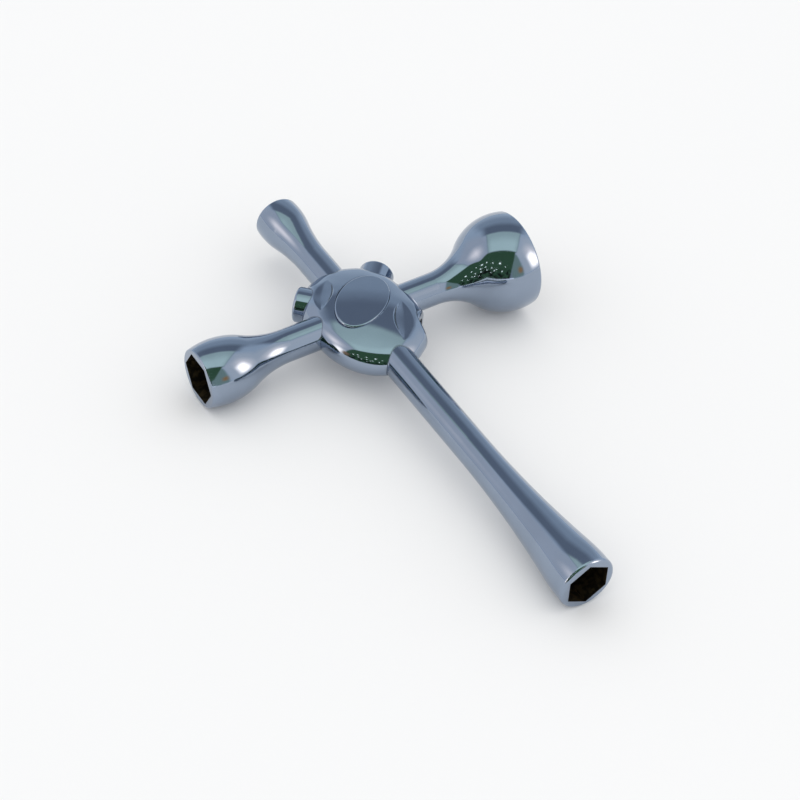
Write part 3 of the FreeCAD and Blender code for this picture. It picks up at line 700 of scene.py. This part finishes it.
def hub_shell():
    """Corners, outward directions and faces of the whole hub, before anything is let into it."""
    around = np.linspace(0.0, 2 * math.pi, HUB_STEPS, endpoint=False)
    travel = np.linspace(0.0, 1.0, HUB_RINGS + 1)[1:]
    around, travel = np.meshgrid(around, travel)
    rows, directions = [], []
    for face in (1, -1):
        step_round = (hub_points(around + SLOPE_STEP, travel, face)
                      - hub_points(around - SLOPE_STEP, travel, face))
        outer, inner = np.minimum(travel + SLOPE_STEP, 1.0), travel - SLOPE_STEP
        step_down = hub_points(around, outer, face) - hub_points(around, inner, face)
        outwards = unit(np.cross(step_down, step_round)) * face
        places = hub_points(around, travel, face)
        rows += list(places) if face > 0 else list(places[-2::-1])
        directions += list(outwards) if face > 0 else list(outwards[-2::-1])
    crown = HUB_HALF_SIZE.z - SEAT_LIP
    corners = np.concatenate(rows + [[(0.0, -HUB_SHIFT, crown), (0.0, -HUB_SHIFT, -crown)]])
    outwards = np.concatenate(directions + [[(0.0, 0.0, 1.0), (0.0, 0.0, -1.0)]])
    return corners, outwards, hub_faces(len(rows))


def hub_faces(ring_count):
    """Faces between the rings of corners, and fans to the top and the bottom corner, which come last."""
    faces = []
    top = ring_count * HUB_STEPS
    bottom = top + 1
    last = top - HUB_STEPS
    steps = [(step, (step + 1) % HUB_STEPS) for step in range(HUB_STEPS)]
    for first in range(0, last, HUB_STEPS):
        second = first + HUB_STEPS
        for step, following in steps:
            faces.append((first + step, second + step, second + following, first + following))
    for step, following in steps:
        faces.append((top, step, following))
        faces.append((bottom, last + following, last + step))
    return faces


def turned_cutter(stations, azimuth):
    """Closed round solid about a level axis, from stations of (distance from the origin, radius)."""
    shape = bmesh.new()
    axis = Vector((math.cos(azimuth), math.sin(azimuth), 0.0))
    sideways = Vector((-math.sin(azimuth), math.cos(azimuth), 0.0))
    rings = []
    for distance, radius in stations:
        ring = []
        for step in range(CUTTER_STEPS):
            angle = 2 * math.pi * (step + CUTTER_TURN) / CUTTER_STEPS
            spoke = sideways * math.cos(angle) + UP * math.sin(angle)
            ring.append(shape.verts.new(axis * distance + spoke * radius))
        rings.append(ring)
    close_rings(shape, rings)
    return as_object(shape, "cutter")


def pin_cutter(reach, azimuth):
    """Upright round bar where a cross pin goes through the hub."""
    shape = bmesh.new()
    middle = Vector((math.cos(azimuth), math.sin(azimuth), 0.0)) * reach
    rings = []
    for height in (-PIN_HALF_LENGTH, PIN_HALF_LENGTH):
        ring = []
        for step in range(PIN_CUTTER_STEPS):
            angle = 2 * math.pi * (step + PIN_CUTTER_TURN) / PIN_CUTTER_STEPS
            spoke = Vector((math.cos(angle), math.sin(angle), 0.0)) * PIN_RADIUS
            ring.append(shape.verts.new(middle + spoke + UP * height))
        rings.append(ring)
    close_rings(shape, rings)
    return as_object(shape, "cutter")


def oval_cutter(face):
    """Column over a medallion's seat."""
    shape = bmesh.new()
    turn = math.radians(MEDALLION_TURN)
    long_axis = Vector((math.cos(turn), math.sin(turn), 0.0)) * RECESS_HALF_LENGTH
    short_axis = Vector((-math.sin(turn), math.cos(turn), 0.0)) * RECESS_HALF_WIDTH
    rings = []
    for height in (MEDALLION_SEAT, OVAL_CUTTER_TOP):
        middle = Vector((0.0, -MEDALLION_SHIFT, height * face))
        ring = []
        for step in range(OVAL_CUTTER_STEPS):
            angle = 2 * math.pi * step / OVAL_CUTTER_STEPS
            spoke = long_axis * math.cos(angle) + short_axis * math.sin(angle)
            ring.append(shape.verts.new(middle + spoke))
        rings.append(ring)
    close_rings(shape, rings)
    return as_object(shape, "cutter")


def close_rings(shape, rings):
    """Walls between rings of corners, and a flat end on the first and the last."""
    for first, second in zip(rings, rings[1:]):
        for step in range(len(first)):
            following = (step + 1) % len(first)
            shape.faces.new((first[step], second[step], second[following], first[following]))
    shape.faces.new(rings[0])
    shape.faces.new(rings[-1])
    bmesh.ops.recalc_face_normals(shape, faces=shape.faces)


def as_object(shape, name):
    mesh = bpy.data.meshes.new(name)
    shape.to_mesh(mesh)
    shape.free()
    made = bpy.data.objects.new(name, mesh)
    bpy.context.scene.collection.objects.link(made)
    return made


def cut_away(piece, cutter):
    """Take a cutter out of a piece and delete the cutter."""
    boolean = piece.modifiers.new("cut", "BOOLEAN")
    boolean.operation = "DIFFERENCE"
    boolean.solver = "EXACT"
    boolean.object = cutter
    depsgraph = bpy.context.evaluated_depsgraph_get()
    result = bpy.data.meshes.new_from_object(piece.evaluated_get(depsgraph))
    piece.modifiers.clear()
    piece.data = result
    bpy.data.objects.remove(cutter)


def smooth_dome(mesh, corners, outwards):
    """Shade the dome by its true surface, and leave the cut faces flat."""
    tree = KDTree(len(corners))
    for number, corner in enumerate(corners):
        tree.insert(corner, number)
    tree.balance()
    directions = [Vector(direction) for direction in outwards]
    nearest = [tree.find_n(vertex.co, DOME_NEIGHBOURS) for vertex in mesh.vertices]
    loop_normals = [None] * len(mesh.loops)
    for polygon in mesh.polygons:
        polygon.use_smooth = True
        for loop in polygon.loop_indices:
            found = nearest[mesh.loops[loop].vertex_index]
            blended = Vector()
            for _, number, distance in found:
                blended += directions[number] / (distance + BLEND_REACH)
            blended.normalize()
            on_dome = found[0][2] < DOME_REACH and blended.dot(polygon.normal) > DOME_FACING
            loop_normals[loop] = blended if on_dome else polygon.normal.copy()
    mesh.normals_split_custom_set(loop_normals)


def cut_openings(hub):
    """Bores and pin holes for the arms, seats for the small sockets and recesses for the medallions."""
    for arm, (spigot_end, pin_reach) in ARM_ROOTS.items():
        azimuth = math.radians(ARM_AZIMUTHS[arm])
        stations = ((spigot_end, SPIGOT_RADIUS), (SHOULDER_REACH, SPIGOT_RADIUS),
                    (SHOULDER_REACH, SHANK_RADIUS), (CUTTER_REACH, SHANK_RADIUS))
        cut_away(hub, turned_cutter(stations, azimuth))
        cut_away(hub, pin_cutter(pin_reach, azimuth))
    for _, azimuth, _ in SMALL_SOCKETS.values():
        stations = ((SMALL_SOCKET_SEAT, SMALL_SOCKET_RADIUS), (CUTTER_REACH, SMALL_SOCKET_RADIUS))
        cut_away(hub, turned_cutter(stations, math.radians(azimuth)))
    for face in (1, -1):
        cut_away(hub, oval_cutter(face))


def add_hub():
    corners, outwards, faces = hub_shell()
    mesh = bpy.data.meshes.new("hub_casting")
    mesh.from_pydata(corners.tolist(), [], faces)
    hub = bpy.data.objects.new("hub_casting", mesh)
    bpy.context.scene.collection.objects.link(hub)
    cut_openings(hub)
    smooth_dome(hub.data, corners, outwards)
    hub.data.materials.clear()
    hub.data.materials.append(hub_material())
    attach(hub, "root")
    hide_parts("hub_body")


# ---------------------------------------------------------------- studio

def add_camera():
    back = Vector((math.sin(CAMERA_AZIMUTH) * math.cos(CAMERA_ELEVATION),
                   -math.cos(CAMERA_AZIMUTH) * math.cos(CAMERA_ELEVATION),
                   math.sin(CAMERA_ELEVATION)))
    level = Vector((math.cos(CAMERA_AZIMUTH), math.sin(CAMERA_AZIMUTH), 0.0))
    upright = back.cross(level)
    right = level * math.cos(CAMERA_ROLL) + upright * math.sin(CAMERA_ROLL)
    up = back.cross(right)
    data = bpy.data.cameras.new("camera")
    data.lens = CAMERA_LENS
    data.clip_start = CAMERA_NEAR
    camera = bpy.data.objects.new("camera", data)
    bpy.context.scene.collection.objects.link(camera)
    turn = Matrix((right, up, back)).transposed().to_4x4()
    camera.matrix_world = Matrix.Translation(CAMERA_AIM + back * CAMERA_DISTANCE) @ turn
    bpy.context.scene.camera = camera


def resting_plane():
    """Point and upward normal of the table that the three lowest heads stand on."""
    heads = [[v.co for v in frame["nodes"][arm].data.vertices] for arm in RESTING_ARMS]
    normal = UP
    for _ in range(RESTING_ROUNDS):
        feet = [min(head, key=normal.dot) for head in heads]
        normal = (feet[1] - feet[0]).cross(feet[2] - feet[0]).normalized()
        if normal.z < 0:
            normal = -normal
    lowest = min(normal.dot(v.co) for node in frame["nodes"].values() for v in node.data.vertices)
    return normal * lowest, normal


def floor_material():
    """Matt white laminate with a faint cloudiness and grain."""
    material, graph, shader = new_material("white_table")
    place = object_place(graph)
    cloud = graph.noise(place, CLOUD_SCALE, detail=3.0)
    grain = graph.noise(place, GRAIN_SCALE, detail=2.0)
    graph.feed(shader.inputs["Base Color"], graph.mix(cloud, scaled(FLOOR_WHITE, CLOUD_TONE), FLOOR_WHITE))
    graph.feed(shader.inputs["Roughness"], graph.ramp(grain, *GRAIN_LEVELS, *TABLE_ROUGHNESS))
    graph.feed(shader.inputs["Normal"], graph.bump(grain, TABLE_RELIEF))
    shader.inputs["Specular IOR Level"].default_value = TABLE_GLOSS
    return material


def add_floor():
    point, normal = resting_plane()
    mesh = bpy.data.meshes.new("table")
    shape = bmesh.new()
    bmesh.ops.create_grid(shape, x_segments=TABLE_SEGMENTS, y_segments=TABLE_SEGMENTS,
                          size=TABLE_HALF_SIZE)
    shape.to_mesh(mesh)
    shape.free()
    floor = bpy.data.objects.new("table", mesh)
    bpy.context.scene.collection.objects.link(floor)
    floor.matrix_world = Matrix.Translation(point) @ normal.to_track_quat("Z", "Y").to_matrix().to_4x4()
    mesh.materials.append(floor_material())


class Tent:
    """Colours laid over the tent by direction, each over the ones before."""

    def __init__(self, graph):
        self.graph = graph
        self.direction = graph.node("ShaderNodeTexCoord").outputs["Generated"]
        front = Vector((math.cos(TENT_FRONT_AZIMUTH), math.sin(TENT_FRONT_AZIMUTH), 0.0))
        across = graph.dot(self.direction, Vector((-front.y, front.x, 0.0)))
        ahead = graph.dot(self.direction, front)
        self.zenith = graph.math("DEGREES", graph.math("ARCCOSINE", graph.dot(self.direction, UP)))
        self.around = graph.math("DEGREES", graph.math("ARCTAN2", across, ahead))
        length = graph.math("SQRT", graph.math(
            "ADD", graph.math("POWER", across, 2.0), graph.math("POWER", ahead, 2.0)))
        spread = graph.math("DIVIDE", self.zenith, graph.most(length, TENT_NEAR_ZENITH))
        self.plan_across = graph.product(across, spread)
        self.plan_ahead = graph.product(ahead, spread)
        self.colour = TENT_WALL

    def lay(self, mask, colour):
        self.colour = self.graph.mix(mask, self.colour, colour)

    def wall_zone(self, low, high, near, far, soft):
        return self.graph.product(self.graph.band(self.around, low, high, soft),
                                  self.graph.band(self.zenith, near, far, soft))

    def plan_zone(self, low, high, back, front, side_fade, back_fade, front_fade):
        return self.graph.product(
            self.graph.band(self.plan_across, low, high, side_fade),
            self.graph.ramp(self.plan_ahead, back - back_fade, back + back_fade),
            self.graph.ramp(self.plan_ahead, front - front_fade, front + front_fade, 1.0, 0.0))

    def opening(self, left, right, top, soft):
        return self.graph.product(
            self.graph.ramp(self.around, left - soft, left + soft),
            self.graph.ramp(self.plan_across, right - soft, right + soft, 1.0, 0.0),
            self.graph.ramp(self.plan_ahead, top - soft, top + soft))

    def lamp(self, around, zenith, radius):
        azimuth = TENT_FRONT_AZIMUTH + math.radians(around)
        down = math.radians(zenith)
        middle = (math.cos(azimuth) * math.sin(down), math.sin(azimuth) * math.sin(down), math.cos(down))
        inner = math.cos(math.radians(radius * TENT_LAMP_CORE))
        outer = math.cos(math.radians(radius))
        return self.graph.ramp(self.graph.dot(self.direction, middle), outer, inner)


def tent_colour(graph):
    """Colour of the tent in each direction."""
    tent = Tent(graph)
    for colour, *limits in TENT_SIDES:
        tent.lay(tent.wall_zone(*limits), colour)
    for colour, *limits in TENT_PLAN:
        tent.lay(tent.plan_zone(*limits), colour)
    flap, *limits = TENT_FLAP
    tent.lay(tent.wall_zone(*limits), flap)
    beyond, *limits = TENT_OPENING
    tent.lay(tent.opening(*limits), beyond)
    for colour, *limits in TENT_PATCHES:
        tent.lay(tent.wall_zone(*limits), colour)
    shade, *limits = TENT_SHADOWS
    noise = graph.noise(tent.direction, TENT_SHADOW_SCALE, detail=3.0)
    clumps = graph.ramp(noise, *TENT_SHADOW_CLUMPS)
    tent.lay(graph.product(tent.wall_zone(*limits), clumps), shade)
    edge, *limits = TENT_TABLE_EDGE
    tent.lay(tent.wall_zone(*limits), edge)
    for lamp in TENT_LAMPS:
        tent.lay(tent.lamp(*lamp), TENT_LAMP_WHITE)
    return tent.colour


def add_studio():
    """The tent is what the chrome mirrors. All else sees a plain pale studio."""
    world = bpy.data.worlds.new("studio")
    bpy.context.scene.world = world
    world.use_nodes = True
    graph = Graph(world.node_tree)
    rays = graph.node("ShaderNodeLightPath")
    plain = graph.mix(rays.outputs["Is Camera Ray"], STUDIO_WHITE, STUDIO_BACKDROP)
    mirrored = graph.mix(rays.outputs["Is Glossy Ray"], plain, tent_colour(graph))
    background = graph.node("ShaderNodeBackground")
    graph.feed(background.inputs["Color"], mirrored)
    output = graph.node("ShaderNodeOutputWorld")
    graph.feed(output.inputs["Surface"], background.outputs["Background"])


bpy.context.scene.view_settings.view_transform = "Standard"
add_camera()
add_floor()
add_studio()
dress_all()
add_hub()
